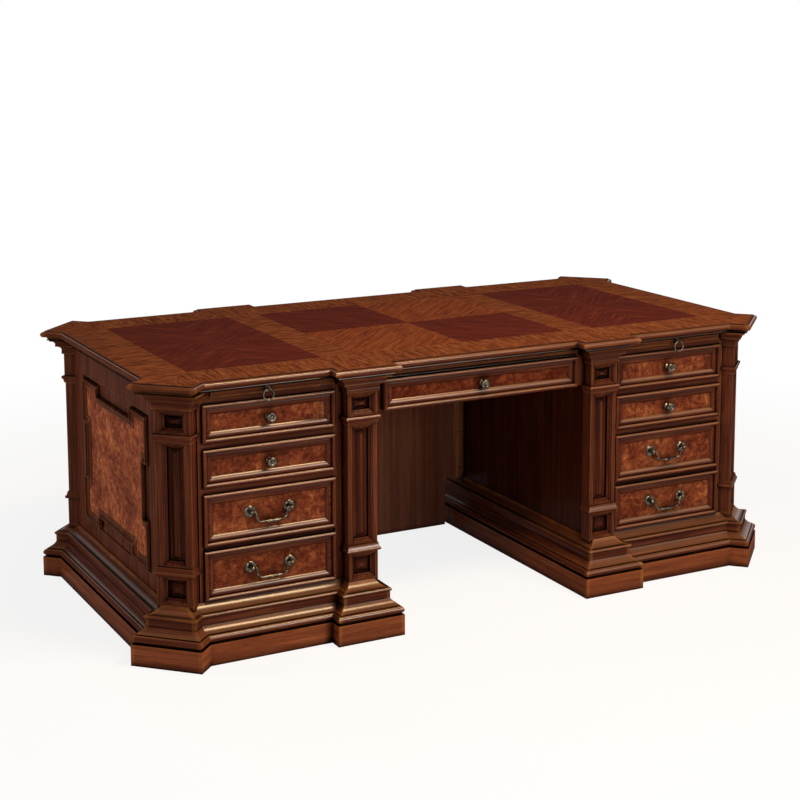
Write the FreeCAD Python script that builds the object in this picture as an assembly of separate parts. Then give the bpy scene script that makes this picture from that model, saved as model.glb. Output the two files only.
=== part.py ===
import FreeCAD, Part
import math
import os
from FreeCAD import Vector

# Executive desk on two pedestals, in millimetres with +Z up.
# The origin is on the floor under the middle of the desk, and the drawers open towards -Y.

# Plan of the plinths
plinth_side = 1029.0            # half width over the plain side boards
plinth_front = 524.0            # half depth over the plain front and back boards
plinth_board = 22.0             # thickness of a plinth board
block_width = 208.0             # plinth block under a kneehole pilaster
block_step = 42.0               # how far the block stands out of the plain board
corner_width = 210.0            # canted plinth block at an outer corner
corner_cut = 44.5               # from the square corner to the canted face
frame_inset = 66.0              # from the plinth face in to the carcass face
quirk_in = 8.0                  # set-backs of the base moulding's members
torus_bulge = 7.5
fillet_in = 3.0
slope_in = 20.0
slope_sag = 2.5
base_lap = 2.0                  # flat top of the moulding against the carcass
bead_bulge = 4.0
hollow_in = 5.0
hollow_sag = 4.0

# Heights
plinth_height = 60.0
base_quirk = 4.0                # members of the base moulding, from the bottom
base_torus = 20.0
base_fillet = 3.0
base_slope = 18.0
base_fascia = 21.0
base_bead = 10.0
base_hollow = 22.0
file_height = 294.0             # front of the file drawer
false_rail = 24.0               # rail between the two false fronts of the file drawer
rail_height = 26.0              # rails between the drawers
box_height = 95.0               # front of a small drawer
drawer_gap = 2.0                # round every drawer front
frieze_height = 22.0            # rail under the writing slide
slide_room = 22.0               # slot for the writing slide
top_under = 10.0                # hollow under the rounded edge of the top
top_edge = 20.0                 # rounded edge of the top, with the quirk over it
nose_quirk = 2.5                # drop from the flat of the top to the rounded edge
nose_bulge = 8.5                # how far the rounded edge swells
nose_in = 10.5                  # flat of the top behind the rounded edge
under_in = 13.0                 # hollow behind the rounded edge
under_sag = 3.0

# Carcass
frame_thickness = 22.0
side_thickness = 19.0           # kneehole side board
base_board = 19.0
drawer_opening = 397.0          # width of the drawer opening
outer_stile = 11.3              # stile between the drawers and a canted pilaster
inner_stile = 100.0             # stile between the drawers and the kneehole side
guide_thickness = 18.0
guide_depth = 560.0             # how far the drawer guides run back from the frame
post_depth = 86.0               # corner post behind each canted pilaster

# Top
top_front_in = 21.0             # front edge of the top behind the plinth face
top_side_in = 13.0              # side edge of the top behind the plinth face
top_corner_in = 14.0            # canted edge of the top behind the plinth's canted face
top_lipping = 34.0              # width of the solid edge round the top
top_block = 206.0               # width of the top over a kneehole pilaster
top_block_step = 42.0           # how far it stands out there
top_corner = 198.0              # width of the top over a canted pilaster
veneer = 1.0
veneer_margin = 16.0            # from the edge of the top to the veneer
front_border = 152.0            # cross-band between the fields and the front edge
side_border = 146.0             # cross-band between the outer fields and the side edge
field_centre = 358.0            # half width of the middle field
field_band = 106.0              # cross-band between two fields

# Pilasters
pilaster_width = 91.0
pilaster_offset = 97.5          # centre of a kneehole pilaster from the plinth's kneehole face
corner_pilaster_width = 107.0
pilaster_inset = 66.0           # block face behind the plinth block face
low_block = 83.0                # height of the lower sunk block
neck_height = 22.0              # moulded neck above and below the shaft
high_block = 69.0               # height of the upper sunk block
cap_height = 47.0               # moulded cap under the top
cap_flare = 32.0                # how far the cap spreads
neck_flare = 7.5
neck_bead = 10.0                # round nose of a neck
shaft_setback = 3.0             # shaft face behind the block face
sunk_panel = 73.0               # width of the sunk panel in a block
sunk_rim = 7.0                  # flat rim above and below it
sunk_step = 2.0                 # drop before each of the two slopes round a sunk panel
sunk_slope = 5.0                # width of each slope
sunk_fall = 4.0                 # depth of each slope
sunk_depth = 20.0
boss_inset = 5.0                # pyramid or ridge clear of the sunk walls
boss_rise = 12.0
boss_tip = 2.0                  # flat left on top of a pyramid or a ridge
shaft_panel = 67.0              # width of the sunk panel in a shaft
shaft_rim = 6.0                 # flat rim above and below it
shaft_depth = 18.0
ridge_width = 27.0              # hipped ridge in the sunk shaft
ridge_rise = 9.0

# Moulded drawer fronts
front_proud = 12.0              # rim of a front ahead of the frame face
front_back = 18.0               # board behind the frame face
front_lap = 6.0                 # moulding of a front over the rails
side_lap = 2.0                  # and past its board at the stiles
foot_lap = 1.0                  # and past its board at the base moulding
lap_clear = 0.5                 # lapped moulding clear of the frame face
rim_width = 12.0
rim_round = 5.5
rim_step = 3.0
rim_ledge = 1.5
rim_swell = 2.5                 # round between the rim and the field
moulding_width = 30.0           # rim and inner round together
field_depth = 14.0              # field behind the rim

# Drawer boxes
drawer_board = 12.0
drawer_bottom = 6.0
box_side_play = 13.0
box_lift = 8.0                  # box bottom above the bottom of the front
box_drop = 12.0                 # box top below the top of the front
file_box_drop = 60.0
box_depth = 500.0
runner_play = 0.3
runner_height = 14.0
runner_seat = 8.0               # how far a runner reaches under the box

# Middle drawer
middle_side = 48.0              # its front from the kneehole side
middle_height = 95.0
middle_proud = 22.0             # rim of its front ahead of the frame face
middle_box_play = 15.0          # its box inside the ends of its front
middle_depth = 420.0
middle_packing = 28.0           # packing board against the kneehole side

# Writing slides
slide_thickness = 19.0
slide_play = 0.4
slide_end = 38.0                # fixed band between a cap and the slide's front strip
slide_lip_end = 16.0            # front strip past the end of the slide board
slide_depth = 420.0
lip_proud = 24.0                # front strip ahead of the frame face
lip_thickness = 12.0

# Bands under the top
band_proud = 24.0               # how far the cornice band stands out
band_gap = 1.5                  # band clear of the pilaster caps and the slides

# Side and back panels
panel_setback = 3.0             # ground panel behind the frame face
panel_reveal = 8.0              # frame edge outside the applied moulding
side_margin = 93.3              # applied side moulding from the canted pilaster
side_foot = 54.0                # its bottom above the base moulding
side_head = 100.0               # its top below the desk top
ear_length = 138.0
ear_step = 32.0
applied_width = 24.0
applied_height = 13.0
leaf = 4.0                      # burl leaf inside the applied moulding
back_foot = 74.0                # applied back moulding above the base moulding
back_head = 120.0               # its top below the desk top
back_margin = 44.0              # back moulding from the drawer opening's lines

# Modesty panel
modesty_front = 268.0           # front face, behind the middle
modesty_thickness = 19.0
modesty_side = 60.0             # from the kneehole side
modesty_foot_side = 21.0        # its narrow foot from the plinth
modesty_foot_rise = 10.0        # top of the narrow foot above the base moulding
modesty_clear = 5.0             # above the floor
cleat_width = 72.0
cleat_thickness = 19.0
cleat_hole = 3.0                # radius of the screw holes
cleat_holes = (160.0, 34.0)     # screw holes above the base moulding
cleat_hole_in = 20.0            # holes from the kneehole side
rear_apron = 110.0              # height of the apron between the rear pilasters

# Knobs
knob_foot = 9.5
knob_neck = 5.0
knob_head = 14.5
knob_length = 29.0

# Bail handles on the file drawers
bail_half = 59.5                # half the distance between the posts
bail_drop = 30.0
bail_wire = 3.2
bail_swell = 4.8                # radius at the middle of the bridge
bail_standoff = 15.0            # hinge line ahead of the field
bail_bend = 5.0                 # from the pin down into the arm
bail_round = 19.0               # from the arm into the bridge
bail_start = 0.8
bail_pin = 2.0
pin_play = 0.05
ball_radius = 7.5
ball_gap = 0.3
rosette = 17.0
rosette_thick = 4.0
post_stem = 4.5
collar_radius = 6.0
collar_length = 3.0
collar_pitch = 4.5
bail_raise = 8.0                # posts above the middle of the false front

# Ring pulls on the writing slides
ring_radius = 15.5
ring_wire = 2.2
ring_play = 0.3
eye_wire = 1.5
eye_standoff = 11.0             # eye ahead of the front strip
eye_below = 6.5                 # eye below the top of the strip
eye_plate = 8.0
eye_plate_thick = 2.5

cut_spare = 1.0                 # how far a mitre cut passes a moulding
diagonal = math.sqrt(0.5)       # share of a 45 degree length along each axis

# Levels worked out from the stack
base_top = (plinth_height + base_quirk + base_torus + base_fillet + base_slope
            + base_fascia + base_bead + base_hollow)
file_z = base_top + drawer_gap
low_rail_z = file_z + file_height + drawer_gap
second_z = low_rail_z + rail_height + drawer_gap
high_rail_z = second_z + box_height + drawer_gap
first_z = high_rail_z + rail_height + drawer_gap
frieze_z = first_z + box_height + drawer_gap
slot_z = frieze_z + frieze_height
top_z = slot_z + slide_room
nose_z = top_z + top_under
desk_height = nose_z + top_edge

# Faces worked out from the plinth
front_face = plinth_front - frame_inset
side_face = plinth_side - frame_inset
block_face = plinth_front + block_step
pilaster_face = block_face - pilaster_inset
pilaster_depth = pilaster_face - front_face
frame_back = front_face - frame_thickness
side_back = side_face - frame_thickness
rim_face = front_face + front_proud
field_face = rim_face - field_depth
front_back_face = front_face - front_back
top_front = plinth_front - top_front_in
top_side = plinth_side - top_side_in


def box(x0, x1, y0, y1, z0, z1):
    return Part.makeBox(x1 - x0, y1 - y0, z1 - z0, Vector(x0, y0, z0))


def prism(points, z0, z1):
    corners = [Vector(x, y, z0) for x, y in points]
    face = Part.Face(Part.makePolygon(corners + corners[:1]))
    return face.extrude(Vector(0, 0, z1 - z0))


def taper(x0, x1, z0, z1, y0, y1, inset_x, inset_z):
    # a rectangle at depth y0 that closes in to a smaller one at depth y1
    wide = (x0, z0, z1, x1)
    small = (x0 + inset_x, z0 + inset_z, z1 - inset_z, x1 - inset_x)
    near, far = (wide, small) if y0 < y1 else (small, wide)
    return Part.makeWedge(near[0], min(y0, y1), near[1], far[1], far[0],
                          near[3], max(y0, y1), near[2], far[2], far[3])


def mirrored(shape):
    return shape.mirror(Vector(0, 0, 0), Vector(1, 0, 0))


def turned_about(shape):
    # the same piece on the back of the desk
    return shape.mirror(Vector(0, 0, 0), Vector(0, 1, 0))


def mitres(path, closed):
    # for each corner, the step that moves it inwards by one millimetre from both its edges
    count = len(path)
    normals = []
    for i in range(count if closed else count - 1):
        ax, ay = path[i]
        bx, by = path[(i + 1) % count]
        length = math.hypot(bx - ax, by - ay)
        normals.append((-(by - ay) / length, (bx - ax) / length))
    steps = []
    for i in range(count):
        before = normals[i - 1] if closed or i > 0 else normals[0]
        after = normals[i] if closed or i < count - 1 else normals[-1]
        share = 1 + before[0] * after[0] + before[1] * after[1]
        steps.append(((before[0] + after[0]) / share, (before[1] + after[1]) / share))
    return steps


def inset(path, distance):
    return [(x + sx * distance, y + sy * distance)
            for (x, y), (sx, sy) in zip(path, mitres(path, True))]


def profile_face(profile, origin, inward):
    # a profile's step is (in, up), or (middle in, middle up, in, up) for an arc
    def place(d, z):
        return Vector(origin[0] + inward[0] * d, origin[1] + inward[1] * d, z)
    edges = []
    here = place(*profile[0])
    for step in profile[1:] + profile[:1]:
        there = place(*step[-2:])
        if len(step) == 4:
            edges.append(Part.Arc(here, place(*step[:2]), there).toShape())
        else:
            edges.append(Part.LineSegment(here, there).toShape())
        here = there
    return Part.Face(Part.Wire(edges))


def mitred_run(path, profile, closed=True):
    # one mitred length of moulding for each edge of a plan, with the inside of the plan on the left
    points = [step[-2:] for step in profile] + [step[:2] for step in profile]
    reach_in = max(d for d, z in points) + cut_spare
    reach_out = min(d for d, z in points) - cut_spare
    spare = 2 * max(abs(reach_in), abs(reach_out))
    steps = mitres(path, closed)
    heights = [z for d, z in points]
    count = len(path)
    lengths = []
    for i in range(count if closed else count - 1):
        j = (i + 1) % count
        (ax, ay), (bx, by) = path[i], path[j]
        length = math.hypot(bx - ax, by - ay)
        tx, ty = (bx - ax) / length, (by - ay) / length
        face = profile_face(profile, (ax - tx * spare, ay - ty * spare), (-ty, tx))
        bar = face.extrude(Vector(tx, ty, 0) * (length + 2 * spare))
        wedge = [(ax + steps[i][0] * reach_out, ay + steps[i][1] * reach_out),
                 (bx + steps[j][0] * reach_out, by + steps[j][1] * reach_out),
                 (bx + steps[j][0] * reach_in, by + steps[j][1] * reach_in),
                 (ax + steps[i][0] * reach_in, ay + steps[i][1] * reach_in)]
        lengths += bar.common(prism(wedge, min(heights) - cut_spare, max(heights) + cut_spare)).Solids
    return lengths


def fused(solids):
    whole = solids[0]
    for solid in solids[1:]:
        whole = whole.fuse(solid)
    return whole.removeSplitter()


def revolved(profile, x, y, z):
    # a turned piece about an axis along Y, from steps of (radius, out) or arcs as in a moulding
    face = profile_face(profile, (0, 0), (1, 0))
    piece = face.revolve(Vector(0, 0, 0), Vector(0, 0, 1), 360)
    piece.rotate(Vector(0, 0, 0), Vector(1, 0, 0), 90)
    piece.translate(Vector(x, y, z))
    return piece


def corner_points(side, front, cut, width):
    # the four points of a canted block at the corner of the +X, +Y quarter
    total = side + front - cut / diagonal
    middle_x = (total + side - front) / 2
    middle_y = (total - side + front) / 2
    run = width / 2 * diagonal
    near_front = (middle_x - run, middle_y + run)
    near_side = (middle_x + run, middle_y - run)
    foot_front = (near_front[0] - (near_front[1] - front), front)
    foot_side = (side, near_side[1] - (near_side[0] - side))
    return foot_side, near_side, near_front, foot_front


def corner_centre(distance):
    # the middle of a canted face that lies this far inside the plinth's canted face
    total = plinth_side + plinth_front - (corner_cut + distance) / diagonal
    return (total + plinth_side - plinth_front) / 2, (total - plinth_side + plinth_front) / 2


def corner_end():
    # the back edges of a canted pilaster, where the front frame and the side frame meet it
    x, y = corner_centre(pilaster_inset + pilaster_depth)
    run = corner_pilaster_width / 2 * diagonal
    return (x - run, y + run), (x + run, y - run)


def cap_ends():
    # x less y along the two ends of a canted cap, with the gap beside it
    x, y = corner_centre(pilaster_inset)
    spread = 2 * (corner_pilaster_width / 2 + cap_flare + band_gap) * diagonal
    return x - y - spread, x - y + spread


# Places that follow from the canted corners
front_end = corner_end()[0][0]
side_end = corner_end()[1][1]
opening_outer = front_end - outer_stile
opening_inner = opening_outer - drawer_opening
opening_middle = (opening_inner + opening_outer) / 2
knee_face = opening_inner - inner_stile
plinth_inner = knee_face - frame_inset
pilaster_centre = plinth_inner + pilaster_offset
middle_half = knee_face - middle_side
middle_box_half = middle_half - middle_box_play
cap_outer = pilaster_centre + pilaster_width / 2 + cap_flare + band_gap
strip_inner = cap_outer + slide_end
strip_outer = cap_ends()[0] + front_face + lip_proud - lip_thickness
slide_centre = (strip_inner + strip_outer) / 2
slide_lip_half = (strip_outer - strip_inner) / 2
slide_half = slide_lip_half - slide_lip_end


def plinth_plan():
    corner = corner_points(plinth_side, plinth_front, corner_cut, corner_width)
    block_outer = plinth_inner + block_width
    rear = [*corner, (block_outer, plinth_front), (block_outer, block_face), (plinth_inner, block_face)]
    front = [(x, -y) for x, y in reversed(rear)]
    return front + rear


def top_plan():
    cut = corner_cut + top_corner_in - (top_front_in + top_side_in) * diagonal
    corner = corner_points(top_side, top_front, cut, top_corner)
    inner = pilaster_centre - top_block / 2
    outer = pilaster_centre + top_block / 2
    bump = top_front + top_block_step
    quarter = [*corner, (outer, top_front), (outer, bump), (inner, bump), (inner, top_front)]
    rear = quarter + [(-x, y) for x, y in reversed(quarter)]
    return rear + [(-x, -y) for x, y in rear]


parts = {}


def keep(name, solids):
    parts[name] = Part.makeCompound(solids)


def keep_pair(name, solids):
    keep("right_" + name, solids)
    keep("left_" + name, [mirrored(solid) for solid in solids])


# Pilasters, built with the block face on the plane y = 0 and the desk behind it

def sunk_panel_cut(half, z0, z1, face, depth):
    # two stepped slopes and then upright walls, down to the floor of a sunk panel
    cuts = []
    near = face
    for i in range(2):
        far = near + sunk_step + sunk_fall
        edge = i * sunk_slope
        cuts.append(box(edge - half, half - edge, near, near + sunk_step, z0 + edge, z1 - edge))
        cuts.append(taper(edge - half, half - edge, z0 + edge, z1 - edge, near + sunk_step, far,
                          sunk_slope, sunk_slope))
        near = far
    edge = 2 * sunk_slope
    cuts.append(box(edge - half, half - edge, near, face + depth, z0 + edge, z1 - edge))
    return fused(cuts)


def hipped_boss(half, z0, z1, floor, rise, end):
    # a raised field whose sides close to a narrow flat, and whose ends slope over a given length
    return taper(-half, half, z0, z1, floor, floor - rise, half - boss_tip / 2, end - boss_tip / 2)


def sunk_block(width, z0, z1, depth):
    half = sunk_panel / 2
    body = box(-width / 2, width / 2, 0, depth, z0, z1)
    foot = 2 * sunk_slope + boss_inset
    inset_z = sunk_rim + foot
    boss = hipped_boss(half - foot, z0 + inset_z, z1 - inset_z, sunk_depth, boss_rise,
                       (z1 - z0) / 2 - inset_z)
    cut = sunk_panel_cut(half, z0 + sunk_rim, z1 - sunk_rim, 0, sunk_depth)
    return body.cut(cut).fuse(boss).removeSplitter()


def shaft(width, z0, z1, depth):
    half = shaft_panel / 2
    body = box(-width / 2, width / 2, shaft_setback, depth, z0, z1)
    foot = shaft_rim + 2 * sunk_slope + boss_inset
    ridge = hipped_boss(ridge_width / 2, z0 + foot, z1 - foot, shaft_setback + shaft_depth, ridge_rise,
                        ridge_width / 2)
    cut = sunk_panel_cut(half, z0 + shaft_rim, z1 - shaft_rim, shaft_setback, shaft_depth)
    return body.cut(cut).fuse(ridge).removeSplitter()


def moulded_collar(width, depth, profile):
    # a moulding round the front and both sides of a pilaster, on a solid core
    half = width / 2
    path = [(-half, depth), (-half, 0), (half, 0), (half, depth)]
    low = min(step[-1] for step in profile)
    high = max(step[-1] for step in profile)
    core = box(-half, half, 0, depth, low, high)
    return fused([core] + mitred_run(path, profile, closed=False))


def neck_profile(z0, z1, tip_high):
    # a fillet and a hollow that meet at a round nose, nose near the top or near the bottom
    ear, lap = neck_flare * 0.6, neck_flare * 0.2
    if tip_high:
        low = z1 - neck_bead
        return [(0, z0), (-lap, z0), (-neck_flare * 0.3, (z0 + low) / 2, -ear, low),
                (-neck_flare, low + neck_bead / 2, -ear, z1), (0, z1)]
    high = z0 + neck_bead
    return [(0, z0), (-ear, z0), (-neck_flare, z0 + neck_bead / 2, -ear, high),
            (-neck_flare * 0.3, (high + z1) / 2, -lap, z1), (0, z1)]


def cap_profile(z0, z1):
    # two hollows and their fillets, spreading upwards
    rise = z1 - z0
    return [(0, z0), (-cap_flare * 0.16, z0), (-cap_flare * 0.16, z0 + rise * 0.18),
            (-cap_flare * 0.24, z0 + rise * 0.42, -cap_flare * 0.5, z0 + rise * 0.52),
            (-cap_flare * 0.6, z0 + rise * 0.52), (-cap_flare * 0.6, z0 + rise * 0.6),
            (-cap_flare * 0.66, z0 + rise * 0.8, -cap_flare * 0.9, z0 + rise * 0.9),
            (-cap_flare, z0 + rise * 0.9), (-cap_flare, z1), (0, z1)]


def pilaster(width):
    z = base_top
    shaft_high = top_z - cap_height - high_block - neck_height
    pieces = [sunk_block(width, z, z + low_block, pilaster_depth)]
    z += low_block
    pieces.append(moulded_collar(width, pilaster_depth, neck_profile(z, z + neck_height, False)))
    z += neck_height
    pieces.append(shaft(width, z, shaft_high, pilaster_depth))
    z = shaft_high
    pieces.append(moulded_collar(width, pilaster_depth, neck_profile(z, z + neck_height, True)))
    z += neck_height
    pieces.append(sunk_block(width, z, z + high_block, pilaster_depth))
    z += high_block
    pieces.append(moulded_collar(width, pilaster_depth, cap_profile(z, top_z)))
    # the foot stands on the plinth, behind the base moulding
    pieces.append(box(-width / 2, width / 2, 0, pilaster_depth, plinth_height, base_top))
    return pieces


def placed(solids, x, y, angle):
    moved = []
    for solid in solids:
        copy = solid.copy()
        copy.rotate(Vector(0, 0, 0), Vector(0, 0, 1), angle)
        copy.translate(Vector(x, y, 0))
        moved.append(copy)
    return moved


def corner_post():
    # the post behind a canted pilaster, between the drawer guide and the side frame
    total = sum(corner_centre(pilaster_inset + pilaster_depth))
    inner = opening_outer + guide_thickness
    plan = [(inner, frame_back), (inner, frame_back - post_depth), (side_back, frame_back - post_depth),
            (side_back, total - side_back), (total - frame_back, frame_back)]
    return prism([(x, -y) for x, y in reversed(plan)], plinth_height, top_z)


def clear_of_frames(piece):
    # the mouldings of a canted pilaster stop against the faces of the two frames
    front_stile = box(opening_outer, front_end, -front_face, -frame_back, plinth_height, top_z)
    side_stile = box(side_back, side_face, -side_end, 0, plinth_height, top_z)
    return piece.cut(front_stile).cut(side_stile).removeSplitter()


def build_pilasters():
    knee = pilaster(pilaster_width)
    keep_pair("front_pilaster", placed(knee, pilaster_centre, -pilaster_face, 0))
    keep_pair("rear_pilaster", placed(knee, pilaster_centre, pilaster_face, 180))
    x, y = corner_centre(pilaster_inset)
    corner = [clear_of_frames(piece) for piece in placed(pilaster(corner_pilaster_width), x, -y, 45)]
    corner.append(corner_post())
    keep_pair("front_corner", corner)
    keep_pair("rear_corner", [turned_about(piece) for piece in corner])


# Plinths with their base mouldings

def base_profile():
    # quirk, torus, sloped ogee, flat fascia, bead and upper hollow, measured in from the plinth face
    torus = plinth_height + base_quirk
    fillet = torus + base_torus
    slope = fillet + base_fillet
    fascia = slope + base_slope
    bead = fascia + base_fascia
    hollow = bead + base_bead
    slope_near = quirk_in + fillet_in
    slope_far = slope_near + slope_in
    hollow_near = slope_far + hollow_in
    hollow_far = frame_inset - base_lap
    sag = slope_sag * diagonal
    bow = hollow_sag * diagonal
    return [(frame_inset, plinth_height), (quirk_in, plinth_height), (quirk_in, torus),
            (quirk_in - torus_bulge, (torus + fillet) / 2, quirk_in, fillet),
            (slope_near, fillet), (slope_near, slope),
            (slope_near + slope_in / 2 + sag, (slope + fascia) / 2 - sag, slope_far, fascia),
            (slope_far, bead), (slope_far - bead_bulge, (bead + hollow) / 2, slope_far, hollow),
            (hollow_near, hollow),
            ((hollow_near + hollow_far) / 2 + bow, (hollow + base_top) / 2 - bow, hollow_far, base_top),
            (frame_inset, base_top)]


def pilaster_cutter(width):
    return box(-width / 2, width / 2, 0, pilaster_depth, plinth_height, base_top)


def build_plinths():
    plan = plinth_plan()
    boards = mitred_run(plan, [(0, 0), (plinth_board, 0), (plinth_board, plinth_height), (0, plinth_height)])
    x, y = corner_centre(pilaster_inset)
    cutters = placed([pilaster_cutter(pilaster_width)], pilaster_centre, -pilaster_face, 0)
    cutters += placed([pilaster_cutter(corner_pilaster_width)], x, -y, 45)
    cutters += [turned_about(cutter) for cutter in cutters]
    mouldings = []
    for length in mitred_run(plan, base_profile()):
        for cutter in cutters:
            length = length.cut(cutter)
        mouldings += length.Solids
    floor = prism(inset(plan, plinth_board), plinth_height - base_board, plinth_height)
    keep_pair("plinth", boards + mouldings + [floor])


# Carcass frames

def build_front_frames():
    y0, y1 = -front_face, -frame_back
    solids = [box(knee_face, opening_inner, y0, y1, plinth_height, top_z),
              box(opening_outer, front_end, y0, y1, plinth_height, top_z),
              box(opening_inner, opening_outer, y0, y1, plinth_height, base_top)]
    for z, height in ((low_rail_z, rail_height), (high_rail_z, rail_height), (frieze_z, frieze_height)):
        solids.append(box(opening_inner, opening_outer, y0, y1, z, z + height))
    slot_inner = slide_centre - slide_half - drawer_gap
    slot_outer = slide_centre + slide_half + drawer_gap
    solids.append(box(opening_inner, slot_inner, y0, y1, slot_z, top_z))
    solids.append(box(slot_outer, opening_outer, y0, y1, slot_z, top_z))
    middle_low = slot_z - middle_height
    solids.append(box(middle_half + drawer_gap, knee_face, y0, y1, middle_low, top_z))
    keep_pair("front_frame", solids)


def build_knee_sides():
    solid = box(knee_face, knee_face + side_thickness, -frame_back, frame_back, plinth_height, top_z)
    keep_pair("knee_side", [solid])


def applied_profile():
    # measured in from the outer edge of the moulding, standing up from the panel
    low = -panel_setback
    w, h = applied_width, applied_height
    return [(0, low), (0, low + h * 0.35), (w * 0.08, low + h * 0.75),
            (w * 0.2, low + h, w * 0.34, low + h * 0.85), (w * 0.42, low + h * 0.62),
            (w * 0.6, low + h * 0.48, w * 0.86, low + h * 0.42), (w, low + h * 0.42), (w, low)]


def eared_plan(half, low, high):
    # a rectangle whose corners stand out as square ears
    e, n = ear_step, ear_length
    left, right = -half, half
    return [(left, low), (left + n, low), (left + n, low + e), (right - n, low + e), (right - n, low),
            (right, low), (right, low + n), (right - e, low + n), (right - e, high - n), (right, high - n),
            (right, high), (right - n, high), (right - n, high - e), (left + n, high - e), (left + n, high),
            (left, high), (left, high - n), (left + e, high - n), (left + e, low + n), (left, low + n)]


def on_side(solids):
    # lay pieces that were drawn flat against the right-hand side frame
    moved = []
    for solid in solids:
        copy = solid.copy()
        copy.rotate(Vector(0, 0, 0), Vector(1, 1, 1), 120)
        copy.translate(Vector(side_face, 0, 0))
        moved.append(copy)
    return moved


def on_back(solids):
    # lay pieces that were drawn flat, seen from behind, against the back frame
    moved = []
    for solid in solids:
        copy = solid.copy()
        copy.rotate(Vector(0, 0, 0), Vector(0, 1, 1), 180)
        copy.translate(Vector(0, front_face, 0))
        moved.append(copy)
    return moved


def panel_frame(left, right, hole, thickness):
    # flat stiles, rails and a ground panel round a hole (left, right, low, high), lying face up
    a0, a1, b0, b1 = hole
    return [box(left, a0, plinth_height, top_z, -thickness, 0),
            box(a1, right, plinth_height, top_z, -thickness, 0),
            box(a0, a1, plinth_height, b0, -thickness, 0),
            box(a0, a1, b1, top_z, -thickness, 0),
            box(a0, a1, b0, b1, -thickness, -panel_setback)]


def build_sides():
    side_half = side_end - side_margin
    side_low = base_top + side_foot
    side_high = top_z - side_head
    hole = (-side_half - panel_reveal, side_half + panel_reveal,
            side_low - panel_reveal, side_high + panel_reveal)
    plan = eared_plan(side_half, side_low, side_high)
    frame = panel_frame(-side_end, side_end, hole, frame_thickness)
    keep_pair("side_frame", on_side(frame + mitred_run(plan, applied_profile())))
    right = on_side([prism(inset(plan, applied_width), -panel_setback, leaf - panel_setback)])
    keep("side_panels", right + [mirrored(solid) for solid in right])


def build_backs():
    back_low = base_top + back_foot
    back_high = top_z - back_head
    left, right = opening_inner + back_margin, opening_outer - back_margin
    hole = (-right - panel_reveal, -left + panel_reveal, back_low - panel_reveal, back_high + panel_reveal)
    plan = [(-right, back_low), (-left, back_low), (-left, back_high), (-right, back_high)]
    frame = panel_frame(-front_end, -knee_face, hole, frame_thickness)
    keep_pair("rear_frame", on_back(frame + mitred_run(plan, applied_profile())))
    panel = on_back([prism(inset(plan, applied_width), -panel_setback, leaf - panel_setback)])
    keep("rear_panels", panel + [mirrored(solid) for solid in panel])


# Drawer guides and runners inside a pedestal

def drawer_levels():
    return (("file_drawer", file_z, file_height, file_box_drop),
            ("second_drawer", second_z, box_height, box_drop),
            ("top_drawer", first_z, box_height, box_drop))


def build_guides():
    y0, y1 = -frame_back, -frame_back + guide_depth
    inner_guide = opening_inner - guide_thickness
    outer_guide = opening_outer + guide_thickness
    solids = [box(inner_guide, opening_inner, y0, y1, plinth_height, frieze_z),
              box(opening_outer, outer_guide, y0, y1, plinth_height, frieze_z),
              box(inner_guide, outer_guide, y0, y1, frieze_z, slot_z)]
    for name, z, height, drop in drawer_levels():
        high = z + box_lift - runner_play
        low = high - runner_height
        solids.append(box(opening_inner, opening_inner + box_side_play + runner_seat, y0, y1, low, high))
        solids.append(box(opening_outer - box_side_play - runner_seat, opening_outer, y0, y1, low, high))
    keep_pair("drawer_guides", solids)


def build_middle_guides():
    y0, y1 = -frame_back, -frame_back + middle_depth
    inner = knee_face - middle_packing
    middle_low = slot_z - middle_height
    high = middle_low + box_lift - runner_play
    low = high - runner_height
    solids = [box(inner, knee_face, y0, y1, low, top_z),
              box(middle_box_half - drawer_board, inner, y0, y1, low, high)]
    keep("middle_guides", solids + [mirrored(solid) for solid in solids])


# Drawers

def front_profile(board, lap, lap_back):
    # a bead, a step and a round down to the field, measured in from the board's edge and out from the field
    shoulder = field_depth - rim_round
    ledge = shoulder - rim_step
    rim = rim_width - lap
    foot = rim + rim_ledge
    inner = moulding_width - lap
    run = math.hypot(inner - foot, ledge)
    edge = [(0, -board), (0, lap_back), (-lap, lap_back)] if lap else [(0, -board)]
    return edge + [(-lap, shoulder), (rim_width / 2 - lap, field_depth, rim, shoulder),
                   (rim, ledge), (foot, ledge),
                   ((foot + inner) / 2 + rim_swell * ledge / run,
                    ledge / 2 + rim_swell * (inner - foot) / run, inner, 0),
                   (inner, -board)]


def moulded_front(x0, x1, z0, z1, proud, lap):
    # a field in a mitred frame, drawn flat and then stood up to face the front
    field = front_face + proud - field_depth
    board = field - front_back_face
    plan = [(x0, z0), (x1, z0), (x1, z1), (x0, z1)]
    w = moulding_width - lap
    core = box(x0 + w, x1 - w, z0 + w, z1 - w, -board, 0)
    whole = fused([core] + mitred_run(plan, front_profile(board, lap, field_depth - proud + lap_clear)))
    whole.rotate(Vector(0, 0, 0), Vector(1, 0, 0), 90)
    whole.translate(Vector(0, -field, 0))
    return whole


def drawer_box(x0, x1, z0, z1, y0, depth):
    # four walls and a bottom, open at the top
    y1 = y0 + depth
    t = drawer_board
    return [box(x0, x0 + t, y0, y1, z0, z1), box(x1 - t, x1, y0, y1, z0, z1),
            box(x0 + t, x1 - t, y0, y0 + t, z0, z1), box(x0 + t, x1 - t, y1 - t, y1, z0, z1),
            box(x0 + t, x1 - t, y0 + t, y1 - t, z0, z0 + drawer_bottom)]


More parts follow.
